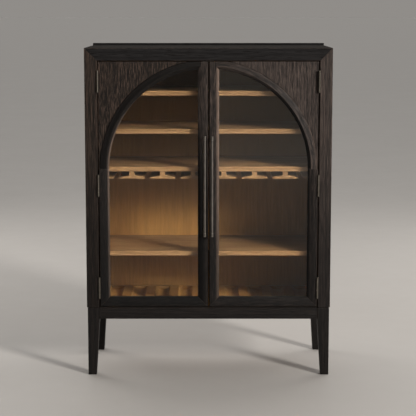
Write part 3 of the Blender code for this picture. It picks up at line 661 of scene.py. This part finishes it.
class Palette:
    """Every finish of the cabinet, ready to put on."""

    def __init__(self) -> None:
        """Make the shared groups and each material."""
        effects = Effects()
        # Lit and shaded copies of one oak: the right-hand boards face the key light and are painted lit, the
        # left-hand copies are darker, painted shaded. This first one is the right case side's oak, painted
        # lit.
        pale = OakFinish(
            "dark_oak_case_right",
            dark=(0.015, 0.0113, 0.0100),
            light=(0.070, 0.0520, 0.0445),
            streak=(0.140, 0.101, 0.084),
            pore=(0.007, 0.0055, 0.0050),
            worn=(0.220, 0.153, 0.118),
            streak_share=0.30,
            pore_share=0.75,
            wear=0.16,
            matt=0.5,
            relief=0.8,
            ridge=0.0012,
            streak_scale=470.0,
            streak_pull=0.025,
            pore_scale=380.0,
            pore_pull=0.05,
            gloss=0.2,
            # Painted sheen by height: darker towards the foot, lighter higher up.
            foot_tone=0.27,
        )
        # The right spandrel's oak, painted lit.
        panel = replace(
            pale, name="dark_oak_panel_right", streak_share=0.40, streak_pull=0.05, pore_share=0.9
        )
        # The right door frame's oak, painted lit.
        lit_frame = pale.toned(
            "dark_oak_frame_right",
            0.46,
            streak=pale.streak,
            worn=pale.worn,
            streak_share=0.45,
            streak_pull=0.05,
            wear=0.12,
            top_stain=0.0,
        )
        # The left door frame's oak: a darker copy, painted shaded.
        shaded_frame = lit_frame.toned("dark_oak_frame_left", 0.40, worn=pale.worn)
        lit_band = pale.toned(
            "dark_oak_band_right",
            0.48,
            streak=pale.streak,
            worn=pale.worn,
            streak_share=0.36,
            streak_pull=0.05,
            wear=0.15,
            # Painted light by height: the right arch band is lighter towards its foot.
            foot_tone=3.2,
        )
        # The left arch band: a far darker copy, painted shaded.
        shaded_band = pale.toned("dark_oak_band_left", 0.14, worn=pale.worn, wear=0.12, streak_share=0.1)
        # The left case side: a darker, warmer copy, painted shaded.
        shaded_case = pale.toned(
            "dark_oak_case_left", 0.36, 0.18, streak=(0.115, 0.076, 0.056), streak_share=0.5
        )
        # The left spandrel: a darker, warmer copy, painted shaded.
        shaded_panel = panel.toned(
            "dark_oak_panel_left", 0.20, 0.22, streak=(0.135, 0.088, 0.066), streak_share=0.7
        )
        # By side: painted light on the right, painted shade on the left.
        self.case_oak = {Side.LEFT: shaded_case.make(effects), Side.RIGHT: pale.make(effects)}
        self.panel_oak = {Side.LEFT: shaded_panel.make(effects), Side.RIGHT: panel.make(effects)}
        self.band_oak = {Side.LEFT: shaded_band.make(effects), Side.RIGHT: lit_band.make(effects)}
        self.frame_oak = {Side.LEFT: shaded_frame.make(effects), Side.RIGHT: lit_frame.make(effects)}
        self.top_oak = replace(
            pale,
            name="dark_oak_top",
            dark=(0.0150, 0.0143, 0.0146),
            light=(0.0235, 0.0226, 0.0230),
            streak_share=0.02,
            matt=0.9,
            gloss=0.0,
            # Its dust also paints the sheen on the top's upper face.
            dust=0.115,
            foot_tone=1.0,
        ).make(effects)
        base = pale.toned("dark_oak_base", 0.18, streak_share=0.15, foot_tone=1.0)
        self.base_oak = base.make(effects)
        self.light_oak = OakFinish(
            "light_oak_inside",
            dark=(0.170, 0.084, 0.032),
            light=(0.226, 0.120, 0.049),
            streak=(0.250, 0.138, 0.060),
            pore=(0.106, 0.050, 0.018),
            worn=(0.270, 0.156, 0.072),
            # Painted light by height: a little lighter at the foot.
            foot_tone=1.12,
            streak_share=0.30,
            pore_share=0.30,
            wear=0.4,
            dust=0.02,
            matt=0.5,
            relief=0.15,
            ring_share=0.35,
        ).make(effects)
        self.lining_oak = OakFinish(
            "light_oak_lining",
            dark=(0.122, 0.056, 0.0121),
            light=(0.152, 0.070, 0.0158),
            streak=(0.161, 0.077, 0.0186),
            pore=(0.091, 0.041, 0.0098),
            worn=(0.166, 0.087, 0.0260),
            # Painted light by height: the lining is twice as light at the foot.
            foot_tone=2.0,
            streak_share=0.20,
            pore_share=0.18,
            wear=0.3,
            dust=0.0,
            matt=0.55,
            relief=0.10,
            ring_share=0.20,
        ).make(effects)
        self.dark_metal = MetalFinish("dark_metal", (0.20, 0.185, 0.17), (0.62, 0.58, 0.52)).make(effects)
        self.hinge_metal = MetalFinish("hinge_metal", (0.175, 0.158, 0.132), (0.40, 0.33, 0.26)).make(effects)
        # A near-black finish for the strip that paints the shade in the gap between the doors.
        self.seal = OakFinish(
            "dark_seal",
            dark=(0.006, 0.0055, 0.005),
            light=(0.010, 0.009, 0.008),
            streak=(0.012, 0.011, 0.010),
            pore=(0.003, 0.003, 0.003),
            worn=(0.012, 0.011, 0.010),
            wear=0.0,
            dust=0.0,
            matt=0.85,
            gloss=0.05,
        ).make(effects)
        steel = MetalFinish("bright_steel", (0.55, 0.55, 0.54), (0.75, 0.75, 0.74), matt=0.32)
        self.steel = steel.make(effects)
        self.glass = GlassFinish("clear_glass").make()


# --------------------------------------------------------------- bench work


def cad_copy(node: str) -> Mesh:
    """Copy a CAD node's mesh, merged, with each flat side as one face.

    Args:
        node: the node's name.

    Returns:
        The copy.
    """
    bm = bmesh.new()
    bm.from_mesh(frame["nodes"][node].data)
    bmesh.ops.remove_doubles(bm, verts=bm.verts[:], dist=MERGE)
    bmesh.ops.dissolve_limit(bm, angle_limit=FLAT, verts=bm.verts[:], edges=bm.edges[:])
    return bm


def round_off(
    bm: Mesh, edges: Sequence[bmesh.types.BMEdge], width: float, segments: int
) -> list[bmesh.types.BMFace]:
    """Round some edges of a mesh.

    Args:
        bm: the mesh.
        edges: the edges.
        width: the rounding's width.
        segments: the rounding's steps.

    Returns:
        The rounding's faces.
    """
    made = bmesh.ops.bevel(
        bm,
        geom=edges,
        offset=width,
        offset_type="OFFSET",
        segments=segments,
        profile=0.5,
        affect="EDGES",
        clamp_overlap=True,
        material=-1,
    )
    return made["faces"]


def soften(bm: Mesh, width: float, segments: int = 2) -> None:
    """Round a mesh's outer edges, and mark the rounding for wear.

    Args:
        bm: the mesh.
        width: the rounding's width.
        segments: the rounding's steps.
    """
    arris = bm.faces.layers.float.get("arris") or bm.faces.layers.float.new("arris")
    bm.normal_update()
    edges = [e for e in bm.edges if e.is_manifold and e.is_convex and e.calc_face_angle() > SHARP]
    for face in round_off(bm, edges, width, segments):
        face[arris] = 1.0


def rub_slopes(bm: Mesh, front: float) -> None:
    """Mark a door frame's sloping inner edges for painted light and shade: over 0 where a slope faces right,
    toward the key light, and is painted pale; under 0 where it faces left and is painted dark.

    Args:
        bm: the mesh.
        front: the mark along a slope's front edge, next to 1 along its deep edge.
    """
    rub = bm.verts.layers.float.new("rub")
    deep = FRONT_Y + SLOPE_DEPTH
    least, most = SLOPE_FACING
    bm.normal_update()
    for face in bm.faces:
        if least < face.normal.y < most and max(v.co.y for v in face.verts) > deep:
            side = face.normal.x / math.hypot(face.normal.x, face.normal.z)
            for vert in face.verts:
                vert[rub] = side if vert.co.y > deep else side * front


def lay_grain(bm: Mesh, grain: Grain, number: int) -> None:
    """Write where each point lies in its board's timber, with the grain along the third axis.

    Args:
        bm: the mesh.
        grain: the way that the grain runs.
        number: the board's number, which picks its place in the log.
    """
    layer = bm.verts.layers.float_vector.new("grain")
    # Each point's height from floor to top, which places the painted light by height.
    height = bm.verts.layers.float.new("height")
    floor, top = CAD_BOX[0].z, CAD_BOX[1].z
    shift = Vector([first + step * (number % steps) for first, step, steps in LOG_PLACES])
    for vert in bm.verts:
        x, y, z = vert.co
        if grain is Grain.UPRIGHT:
            place = Vector((x, y, z))
        elif grain is Grain.ACROSS:
            place = Vector((z, y, x))
        elif grain is Grain.DEEP:
            place = Vector((x, z, y))
        else:
            rise = z - SPRING_Z
            radius = math.hypot(x, rise)
            place = Vector((radius, y, radius * math.atan2(rise, abs(x))))
        vert[layer] = place + shift
        vert[height] = (z - floor) / (top - floor)


def even_back(bm: Mesh) -> None:
    """Give a panel's rear face one tone from top to bottom, so that the painted light by height stays off it.

    Args:
        bm: the panel's mesh.
    """
    height = bm.verts.layers.float["height"]
    middle = sum(v.co.y for v in bm.verts) / len(bm.verts)
    for vert in bm.verts:
        if vert.co.y > middle:
            vert[height] = BACK_TONE


def turned(profile: Profile, place: Matrix, steps: int) -> Mesh:
    """Turn a profile about an axis, as on a lathe.

    Args:
        profile: radius and distance along the axis, from end to end.
        place: where the axis stands: its third column runs along the axis.
        steps: the steps of the full turn.

    Returns:
        The turned mesh.
    """
    bm = bmesh.new()
    verts = [bm.verts.new((radius, 0, along)) for radius, along in profile]
    edges = [bm.edges.new(pair) for pair in zip(verts, verts[1:])]
    bmesh.ops.spin(
        bm,
        geom=[*verts, *edges],
        cent=(0, 0, 0),
        axis=(0, 0, 1),
        angle=2 * math.pi,
        steps=steps,
        use_merge=True,
    )
    bmesh.ops.remove_doubles(bm, verts=bm.verts[:], dist=MERGE)
    bm.transform(place)
    bm.normal_update()
    bmesh.ops.recalc_face_normals(bm, faces=bm.faces[:])
    return bm


def block(low: Vector, high: Vector) -> Mesh:
    """Make a plain block.

    Args:
        low: its lower corner.
        high: its upper corner.

    Returns:
        The block's mesh.
    """
    bm = bmesh.new()
    size = high - low
    made = bmesh.ops.create_cube(bm, size=1.0)
    bmesh.ops.scale(bm, vec=size, verts=made["verts"])
    bmesh.ops.translate(bm, vec=(low + high) / 2, verts=made["verts"])
    return bm


def gather(parts: Sequence[Mesh]) -> Mesh:
    """Make one mesh of several.

    Args:
        parts: the meshes, which are freed.

    Returns:
        The whole.
    """
    whole = bmesh.new()
    for part in parts:
        scrap = bpy.data.meshes.new("scrap")
        part.to_mesh(scrap)
        part.free()
        whole.from_mesh(scrap)
        bpy.data.meshes.remove(scrap)
    return whole


def along_z(x: float, y: float) -> Matrix:
    """Return the place of an upright axis."""
    return Matrix.Translation((x, y, 0))


def along_y(x: float, z: float) -> Matrix:
    """Return the place of an axis that runs to the back."""
    return Matrix.Translation((x, 0, z)) @ Matrix.Rotation(-math.pi / 2, 4, "X")


def along_x(start: Vector, side: int) -> Matrix:
    """Return the place of an axis that runs from a point to one side."""
    return Matrix.Translation(start) @ Matrix.Rotation(side * math.pi / 2, 4, "Y")


def stand(name: str, data: bpy.types.ID) -> bpy.types.Object:
    """Stand a new object in the scene.

    Args:
        name: its name.
        data: its mesh, lamp or camera.

    Returns:
        The object.
    """
    made = bpy.data.objects.new(name, data)
    bpy.context.scene.collection.objects.link(made)
    return made


def set_piece(
    name: str, bm: Mesh, finish: Material, body: str, nodes: Sequence[str] = ()
) -> None:
    """Make a finished piece of a mesh, and set it on the frame.

    Args:
        name: the piece's name.
        bm: its mesh, which is freed.
        finish: its material.
        body: the CAD body that it moves with.
        nodes: the CAD nodes that it stands for.
    """
    mesh = bpy.data.meshes.new(name)
    bm.to_mesh(mesh)
    bm.free()
    mesh.shade_smooth()
    mesh.set_sharp_from_angle(angle=SHARP)
    mesh.materials.append(finish)
    piece = stand(name, mesh)
    even = piece.modifiers.new("even_normals", "WEIGHTED_NORMAL")
    even.keep_sharp = True
    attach(piece, body)
    if nodes:
        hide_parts(*nodes)
    LOG.info("%s: %d faces on %s", name, len(mesh.polygons), body)


@dataclass
class Board:
    """One board: its CAD solid with softened edges, and grain of its own."""

    node: str
    grain: Grain
    number: int
    ease: float = 0.0008
    # The painted slope light and shade's mark along a slope's front edge; None leaves the slopes unpainted.
    rub_front: float | None = None
    plain_back: bool = False

    def build(self, finish: Material, slot: str) -> None:
        """Build and dress the board.

        Args:
            finish: its material.
            slot: the record's material slot; not used.
        """
        bm = cad_copy(self.node)
        soften(bm, self.ease)
        # Mark the slopes for painted light and shade.
        if self.rub_front is not None:
            rub_slopes(bm, self.rub_front)
        lay_grain(bm, self.grain, self.number)
        if self.plain_back:
            even_back(bm)
        body = frame["nodes"][self.node]["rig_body"]
        set_piece(f"finished_{self.node}", bm, finish, body, [self.node])


# ------------------------------------------------------------- sub-assemblies


@dataclass
class Case:
    """The mitred case: two sides, the top and the low rail on its back edge."""

    palette: Palette
    ease: float = 0.0008

    def build(self) -> None:
        """Build and dress the boards of the case."""
        boards = {
            "left_side_panel": Grain.UPRIGHT,
            "right_side_panel": Grain.UPRIGHT,
            "top_panel": Grain.ACROSS,
            "back_gallery_rail": Grain.ACROSS,
        }
        for number, (node, grain) in enumerate(boards.items()):
            finish = self.palette.top_oak
            # Each side panel takes its side's copy of the case oak: painted lit on the right, painted shaded
            # on the left.
            if grain is Grain.UPRIGHT:
                finish = self.palette.case_oak[Side.LEFT if node.startswith("left") else Side.RIGHT]
            Board(node, grain, number, self.ease).build(finish, "dark_oak")


@dataclass
class Base:
    """The stand: tapered legs and the aprons between them."""

    palette: Palette
    ease: float = 0.0012
    first_board: int = 5

    def build(self) -> None:
        """Build and dress the legs and aprons."""
        ends = ("front", "rear")
        boards = {f"{end}_{side.word}_leg": Grain.UPRIGHT for end in ends for side in Side}
        boards |= {f"{end}_apron": Grain.ACROSS for end in ends}
        boards |= {f"{side.word}_apron": Grain.DEEP for side in Side}
        for number, (node, grain) in enumerate(boards.items(), self.first_board):
            Board(node, grain, number, self.ease).build(self.palette.base_oak, "dark_oak")


@dataclass
class Inside:
    """The light oak inside: lining, shelves, stemware runners and bottle cradle."""

    palette: Palette
    ease: float = 0.0010
    first_board: int = 13
    runners: int = 6
    catch_ease: float = 0.0004
    magnet_rim: float = 0.0030
    magnet_slope: float = 0.0004
    magnet_sink: float = 0.0005

    def build(self) -> None:
        """Build and dress the boards of the inside."""
        boards = {
            "left_side_liner": Grain.UPRIGHT,
            "right_side_liner": Grain.UPRIGHT,
            "back_panel": Grain.UPRIGHT,
            "case_floor": Grain.ACROSS,
            "upper_shelf": Grain.ACROSS,
            "middle_shelf": Grain.ACROSS,
            "rack_shelf": Grain.ACROSS,
            "lower_shelf": Grain.ACROSS,
            "left_stem_cleat": Grain.DEEP,
            "right_stem_cleat": Grain.DEEP,
            "bottle_cradle": Grain.ACROSS,
        }
        boards |= {f"stem_runner_{i + 1}": Grain.DEEP for i in range(self.runners)}
        for number, (node, grain) in enumerate(boards.items(), self.first_board):
            # The cradle takes the lining's finish, with its painted light towards the foot.
            lined = grain is Grain.UPRIGHT or node == "bottle_cradle"
            finish = self.palette.lining_oak if lined else self.palette.light_oak
            board = Board(node, grain, number, self.ease, plain_back=node == "back_panel")
            board.build(finish, "light_oak")
        self.build_catch()

    def build_catch(self) -> None:
        """Build the catch's housing, with a sunk magnet for each door in its front."""
        housing = cad_copy("magnetic_catch")
        whole = [*housing.verts, *housing.edges, *housing.faces]
        bmesh.ops.bisect_plane(housing, geom=whole, plane_no=(1, 0, 0))
        housing.normal_update()
        fronts = [face for face in housing.faces if face.normal.y < -SQUARE_ON]
        for rim, sink in ((self.magnet_rim, 0.0), (self.magnet_slope, self.magnet_sink)):
            bmesh.ops.inset_individual(housing, faces=fronts, thickness=rim, depth=-sink)
        soften(housing, self.catch_ease)
        metal = self.palette.dark_metal
        set_piece("finished_magnetic_catch", housing, metal, "case", ["magnetic_catch"])


@dataclass
class Hinge:
    """A butt hinge: a frame leaf with the pin, and a door leaf that turns on it."""

    palette: Palette
    side: Side
    number: int
    axis_x: float = 0.4784
    axis_y: float = FRONT_Y - 0.003
    knuckles: int = 5
    gap: float = 0.0005
    barrel: float = 0.0045
    pin: float = 0.0020
    bore: float = 0.0023
    play: float = 0.0003
    leaf: float = 0.0010
    leaf_ease: float = 0.00012
    corner: float = 0.004
    corner_steps: int = 5
    barrel_steps: int = 32
    pin_steps: int = 24
    screw_steps: int = 20
    knuckle_ease: float = 0.0005
    tab_bite: float = 0.0015
    tab_lap: float = 0.0005
    screw: float = 0.0033
    screw_crown: float = 0.0024
    screw_rise: float = 0.00022
    screw_root: float = 0.0003
    screw_stagger: float = 0.003
    screw_rows: tuple[float, ...] = (0.16, 0.5, 0.84)
    drive: float = 0.0013
    drive_floor: float = 0.0010
    drive_rise: float = 0.00004

    def build(self) -> None:
        """Build and dress both leaves."""
        word = self.side.word
        frame_node = f"{word}_frame_leaf_{self.number}"
        door_node = f"{word}_door_leaf_{self.number}"
        for node, first, way in ((frame_node, 0, 1), (door_node, 1, -1)):
            body = frame["nodes"][node]["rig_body"]
            bm = self.leaf_mesh(node, first, way)
            set_piece(f"finished_{node}", bm, self.palette.hinge_metal, body, [node])

    def spans(self, low: float, high: float) -> list[tuple[float, float]]:
        """Share a hinge's height among its knuckles.

        Args:
            low: the hinge's lower end.
            high: its upper end.

        Returns:
            The lower and upper end of each knuckle.
        """
        length = (high - low - self.gap * (self.knuckles - 1)) / self.knuckles
        starts = [low + i * (length + self.gap) for i in range(self.knuckles)]
        return [(start, start + length) for start in starts]

    def leaf_mesh(self, node: str, first: int, way: int) -> Mesh:
        """Model one leaf.

        Args:
            node: its CAD node, for its height and depth.
            first: the first knuckle that it carries.
            way: 1 for the leaf on the case, -1 for the one on the door.

        Returns:
            The leaf's mesh.
        """
        low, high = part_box(frame_leaf_of(node))
        spans = self.spans(low.z, high.z)
        face = self.side.value * (self.axis_x + way * self.play)
        back = self.side.value * (self.axis_x + way * (self.play + self.leaf))
        near, far = sorted((face, back))
        notch = self.axis_y + self.barrel + self.gap
        plate = block(Vector((near, notch, spans[0][0])), Vector((far, high.y, spans[-1][1])))
        back_edge = [e for e in plate.edges if all(v.co.y > notch + MERGE for v in e.verts)]
        corners = [e for e in back_edge if is_along(e, "x")]
        round_off(plate, corners, self.corner, self.corner_steps)
        parts = [plate]
        tab = self.axis_y + self.barrel - self.tab_bite
        for start, end in spans[first::2]:
            corner = Vector((near, tab, start + self.gap))
            parts.append(block(corner, Vector((far, notch + self.tab_lap, end - self.gap))))
        axis = along_z(self.side.value * self.axis_x, self.axis_y)
        for start, end in spans[first::2]:
            inner = 0.0 if way > 0 else self.bore
            parts.append(turned(self.knuckle_profile(start, end, inner), axis, self.barrel_steps))
        if way > 0:
            start, end = spans[0][0], spans[-1][1]
            pin = [(0, start), (self.pin, start), (self.pin, end), (0, end)]
            parts.append(turned(pin, axis, self.pin_steps))
        middle = (notch + high.y) / 2
        for share in self.screw_rows:
            height = low.z + share * (high.z - low.z)
            depth = middle + self.screw_stagger * math.cos(share * 2 * math.pi)
            parts.append(self.screw_head(Vector((face, depth, height)), -way))
        bm = gather(parts)
        soften(bm, self.leaf_ease, 1)
        return bm

    def knuckle_profile(self, start: float, end: float, inner: float) -> Profile:
        """Draw a knuckle's profile, with its outer ends eased.

        Args:
            start: its lower end.
            end: its upper end.
            inner: its bore's radius, or 0 where it is solid.

        Returns:
            The profile.
        """
        ease = self.knuckle_ease
        profile = [
            (inner, start),
            (self.barrel - ease, start),
            (self.barrel, start + ease),
            (self.barrel, end - ease),
            (self.barrel - ease, end),
            (inner, end),
        ]
        return profile if inner == 0 else [*profile, profile[0]]

    def screw_head(self, place: Vector, way: int) -> Mesh:
        """Turn a low oval screw head with a round drive, on a leaf's face.

        Args:
            place: its middle, on the face.
            way: 1 where it looks away from the middle of the cabinet, -1 where it looks towards it.

        Returns:
            The head's mesh.
        """
        profile = [
            (0, self.drive_rise),
            (self.drive_floor, self.drive_rise),
            (self.drive, self.screw_rise),
            (self.screw_crown, self.screw_rise),
            (self.screw, 0),
            (self.screw, -self.screw_root),
            (0, -self.screw_root),
        ]
        return turned(profile, along_x(place, self.side.value * way), self.screw_steps)


def frame_leaf_of(node: str) -> str:
    """Return the name of the frame leaf of a leaf's own hinge, whose box spans the whole hinge."""
    return node.replace("door_leaf", "frame_leaf")


def is_along(edge: bmesh.types.BMEdge, axis: str) -> bool:
    """Say whether an edge runs along an axis."""
    run = edge.verts[1].co - edge.verts[0].co
    return abs(getattr(run, axis)) > SQUARE_ON * run.length


@dataclass
class Handle:
    """The long bar handle: a round bar with collars on two posts, and the screws behind the stile."""

    palette: Palette
    side: Side
    offset: float = 0.016
    standoff: float = 0.030
    bar: float = 0.0055
    bar_steps: int = 48
    ease: float = 0.0006
    ease_steps: int = 3
    collar: float = 0.0065
    collar_length: float = 0.018
    dome: float = 0.0025
    dome_crown: float = 0.0001
    dome_rise: float = 0.0016
    groove: float = 0.0006
    groove_width: float = 0.0008
    groove_slope: float = 0.0002
    post: float = 0.0050
    post_waist: float = 0.0005
    post_steps: int = 36
    flare: float = 0.010
    flare_end: float = 0.0035
    foot: float = 0.0062
    foot_rim: float = 0.0010
    foot_lift: float = 0.0003
    door: float = 0.024
    head: float = 0.0045
    head_gap: float = 0.0002
    head_rim: float = 0.0010
    head_shoulder: float = 0.0019
    head_height: float = 0.0022
    head_steps: int = 28
    drive: float = 0.0014
    drive_rim: float = 0.0016

    def build(self) -> None:
        """Build and dress the handle and its screws."""
        word = self.side.word
        node = f"{word}_handle"
        low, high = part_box(node)
        x = self.side.value * self.offset
        y = FRONT_Y - self.standoff
        heights = (low.z + self.collar_length / 2, high.z - self.collar_length / 2)
        parts = [turned(self.bar_profile(low.z, high.z), along_z(x, y), self.bar_steps)]
        parts += [turned(self.post_profile(y), along_y(x, z), self.post_steps) for z in heights]
        bm = gather(parts)
        soften(bm, self.ease, self.ease_steps)
        set_piece(f"finished_{node}", bm, self.palette.dark_metal, f"{word}_door", [node])
        bm = gather([turned(self.screw_profile(), along_y(x, z), self.head_steps) for z in heights])
        set_piece(f"{word}_handle_screws", bm, self.palette.steel, f"{word}_door")

    def bar_profile(self, low: float, high: float) -> Profile:
        """Draw the bar's profile: a domed end, a collar, a fine groove, then the bar, and back again.

        Args:
            low: the bar's lower end.
            high: its upper end.

        Returns:
            The profile.
        """
        groove = self.collar_length - self.groove_width
        end = [
            (0, 0),
            (self.collar - self.dome, self.dome_crown),
            (self.collar, self.dome_rise),
            (self.collar, groove - self.groove_slope),
            (self.bar - self.groove, groove),
            (self.bar - self.groove, self.collar_length),
            (self.bar, self.collar_length + self.groove_slope),
        ]
        return [(r, low + h) for r, h in end] + [(r, high - h) for r, h in reversed(end)]

    def post_profile(self, bar_y: float) -> Profile:
        """Draw a post's profile, from the bar to its flared foot on the stile.

        Args:
            bar_y: the place of the bar's axis, from front to back.

        Returns:
            The profile.
        """
        foot, waist = FRONT_Y - self.foot_lift, self.post - self.post_waist
        return [
            (0, bar_y),
            (waist, bar_y),
            (waist, foot - self.flare),
            (self.post, foot - self.flare_end),
            (self.foot, foot - self.foot_rim),
            (self.foot, foot),
            (0, foot),
        ]

    def screw_profile(self) -> Profile:
        """Draw a pan head's profile, on the back of the stile.

        Returns:
            The profile.
        """
        back = FRONT_Y + self.door + self.head_gap
        return [
            (0, back),
            (self.head, back),
            (self.head, back + self.head_rim),
            (self.head - self.head_rim, back + self.head_shoulder),
            (self.drive_rim, back + self.head_height),
            (self.drive, back + self.head_rim),
            (0, back + self.head_rim),
        ]


@dataclass
class Door:
    """A glazed door: mitred frame, arch band, corner panel, pane, bead, hinges and handle."""

    palette: Palette
    side: Side
    ease: float = 0.0007
    hinges: int = 3
    # The near-black strip in the gap between the doors, which paints the gap's shade.
    seal_reach: float = 0.0024
    seal_bite: float = 0.0004
    seal_depth: float = 0.010
    seal_width: float = 0.004
    seal_round: float = 0.0014
    seal_steps: int = 3
    seal_end: float = 0.001

    def build(self) -> None:
        """Build and dress the door."""
        word = self.side.word
        frames = {
            "hinge_stile": Grain.UPRIGHT,
            "meeting_stile": Grain.UPRIGHT,
            "bottom_rail": Grain.ACROSS,
            "arch_band": Grain.ARCHED,
            "glass_bead": Grain.UPRIGHT,
        }
        first = DOOR_BOARDS[self.side]
        for number, (name, grain) in enumerate(frames.items(), first):
            node = f"{word}_{name}"
            # Every door board's slopes take painted light and shade; boards missing from the table take 0
            # along the front edge.
            board = Board(node, grain, number, self.ease, SLOPE_PAINT_FRONT.get(node, 0.0))
            # Both meeting stiles take the lit copy of the frame oak; the other boards take their side's copy,
            # painted lit on the right and shaded on the left.
            finish = self.palette.frame_oak[Side.RIGHT if name == "meeting_stile" else self.side]
            if grain is Grain.ARCHED:
                finish = self.palette.band_oak[self.side]
            board.build(finish, "dark_oak")
        panel = Board(f"{word}_spandrel", Grain.UPRIGHT, first + len(frames), self.ease)
        panel.build(self.palette.panel_oak[self.side], "dark_oak")
        self.dress(f"{word}_glass", self.palette.glass)
        self.dress(f"{word}_strike_plate", self.palette.steel)
        for number in range(1, self.hinges + 1):
            Hinge(self.palette, self.side, number).build()
        Handle(self.palette, self.side).build()
        # Only the left door carries the strip that paints the shade in the gap.
        if self.side is Side.LEFT:
            self.build_seal()

    def build_seal(self) -> None:
        """Build the near-black strip on the left door's edge that closes the gap between the doors, put there
        to paint the gap's shade.
        """
        low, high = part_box("left_meeting_stile")
        front = FRONT_Y + self.seal_depth
        corner = Vector((high.x - self.seal_bite, front, low.z + self.seal_end))
        end = Vector((high.x + self.seal_reach, front + self.seal_width, high.z - self.seal_end))
        bm = block(corner, end)
        tips = [e for e in bm.edges if is_along(e, "z") and all(v.co.x > high.x for v in e.verts)]
        round_off(bm, tips, self.seal_round, self.seal_steps)
        lay_grain(bm, Grain.UPRIGHT, 0)
        set_piece("meeting_seal", bm, self.palette.seal, "left_door")

    def dress(self, node: str, finish: Material) -> None:
        """Put a finish on a CAD node that keeps its own shape.

        Args:
            node: the node's name.
            finish: the material.
        """
        for slot in frame["nodes"][node].material_slots:
            slot.material = finish
        LOG.info("%s: kept, with %s", node, finish.name)


# --------------------------------------------------------------------- studio


@dataclass(frozen=True)
class SoftBox:
    """A flat soft light."""

    name: str
    place: tuple[float, float, float]
    aim: tuple[float, float, float]
    width: float
    height: float
    watts: float
    colour: Colour = (1.0, 0.96, 0.91)

    def light(self) -> None:
        """Hang the light and turn it to what it lights."""
        lamp = bpy.data.lights.new(self.name, "AREA")
        lamp.shape = "RECTANGLE"
        lamp.size, lamp.size_y = self.width, self.height
        lamp.energy = self.watts
        lamp.color = self.colour
        box = stand(self.name, lamp)
        box.location = self.place
        box.rotation_euler = (Vector(self.aim) - Vector(self.place)).to_track_quat("-Z", "Y").to_euler()
        box.visible_camera = False


@dataclass
class Studio:
    """The floor, the soft lights and the camera."""

    floor_radius: float = 300.0
    floor_rim: float = 240.0
    floor_steps: int = 96
    lens: float = 120.3
    sensor: float = 36.0
    camera_place: tuple[float, float, float] = (-0.002, FRONT_Y - 6.0, 1.600)
    camera_tilt: float = 81.907
    room: Colour = (0.050, 0.049, 0.047)
    sky: Colour = (1.25, 1.22, 1.18)
    sky_aim: tuple[float, float, float] = (0.0, 0.6, 0.8)
    sky_focus: float = 3.0
    backdrop: Colour = (0.2785, 0.2647, 0.2486)
    lights: list[SoftBox] = field(
        default_factory=lambda: [
            SoftBox("key", (7.52, -8.55, 5.05), (0.0, -0.2, 0.85), 1.6, 2.6, 1400.0),
            SoftBox("rear left", (-3.2, 3.0, 2.3), (0.0, 0.0, 0.6), 2.0, 2.0, 45.0),
            SoftBox("rear right", (3.2, 3.0, 2.3), (0.0, 0.0, 0.6), 2.0, 2.0, 35.0),
            SoftBox("pale card", (1.35, -7.6, 0.9), (1.35, 0.0, 0.9), 2.5, 1.9, 7.6, (1.0, 0.86, 0.71)),
        ]
    )

    def build(self) -> None:
        """Set up the whole studio."""
        self.lay_floor()
        for box in self.lights:
            box.light()
        self.set_world()
        self.set_camera()

    def lay_floor(self) -> None:
        """Lay the pale floor under the feet."""
        bm = bmesh.new()
        bmesh.ops.create_circle(bm, cap_ends=True, radius=self.floor_radius, segments=self.floor_steps)
        bmesh.ops.inset_region(bm, faces=bm.faces[:], thickness=self.floor_rim)
        mesh = bpy.data.meshes.new("studio_floor")
        bm.to_mesh(mesh)
        bm.free()
        mesh.materials.append(FloorFinish("studio_floor").make())
        floor = stand("studio_floor", mesh)

    def set_world(self) -> None:
        """Light the room softly from above and behind, before an even pale backdrop."""
        world = bpy.data.worlds.new("studio")
        world.use_nodes = True
        g = Graph(world.node_tree)
        background = next(n for n in world.node_tree.nodes if n.type == "BACKGROUND")
        way = g.node("ShaderNodeTexCoord").outputs["Generated"]
        facing = g.node("ShaderNodeVectorMath", {0: way, 1: self.sky_aim}, operation="DOT_PRODUCT")
        glow = g.maths("POWER", g.maths("MAXIMUM", facing.outputs["Value"], 0.0), self.sky_focus)
        light = g.mix(glow, solid(self.room), solid(self.sky))
        seen = g.node("ShaderNodeLightPath").outputs["Is Camera Ray"]
        g.feed(background.inputs["Color"], g.mix(seen, light, solid(self.backdrop)))
        scene = bpy.context.scene
        scene.world = world
        scene.view_settings.view_transform = "Standard"
        scene.view_settings.look = "None"

    def set_camera(self) -> None:
        """Stand the camera where the photograph was taken from."""
        data = bpy.data.cameras.new("camera")
        data.lens = self.lens
        data.sensor_width = self.sensor
        camera = stand("camera", data)
        camera.location = self.camera_place
        camera.rotation_euler = (math.radians(self.camera_tilt), 0, 0)
        bpy.context.scene.camera = camera


def main() -> None:
    """Build the cabinet piece by piece, then the studio round it."""
    logging.basicConfig(level=logging.INFO, format="%(name)s: %(message)s")
    palette = Palette()
    Studio().build()
    Case(palette).build()
    Base(palette).build()
    Inside(palette).build()
    for side in Side:
        Door(palette, side).build()


if __name__ == "__main__":
    main()
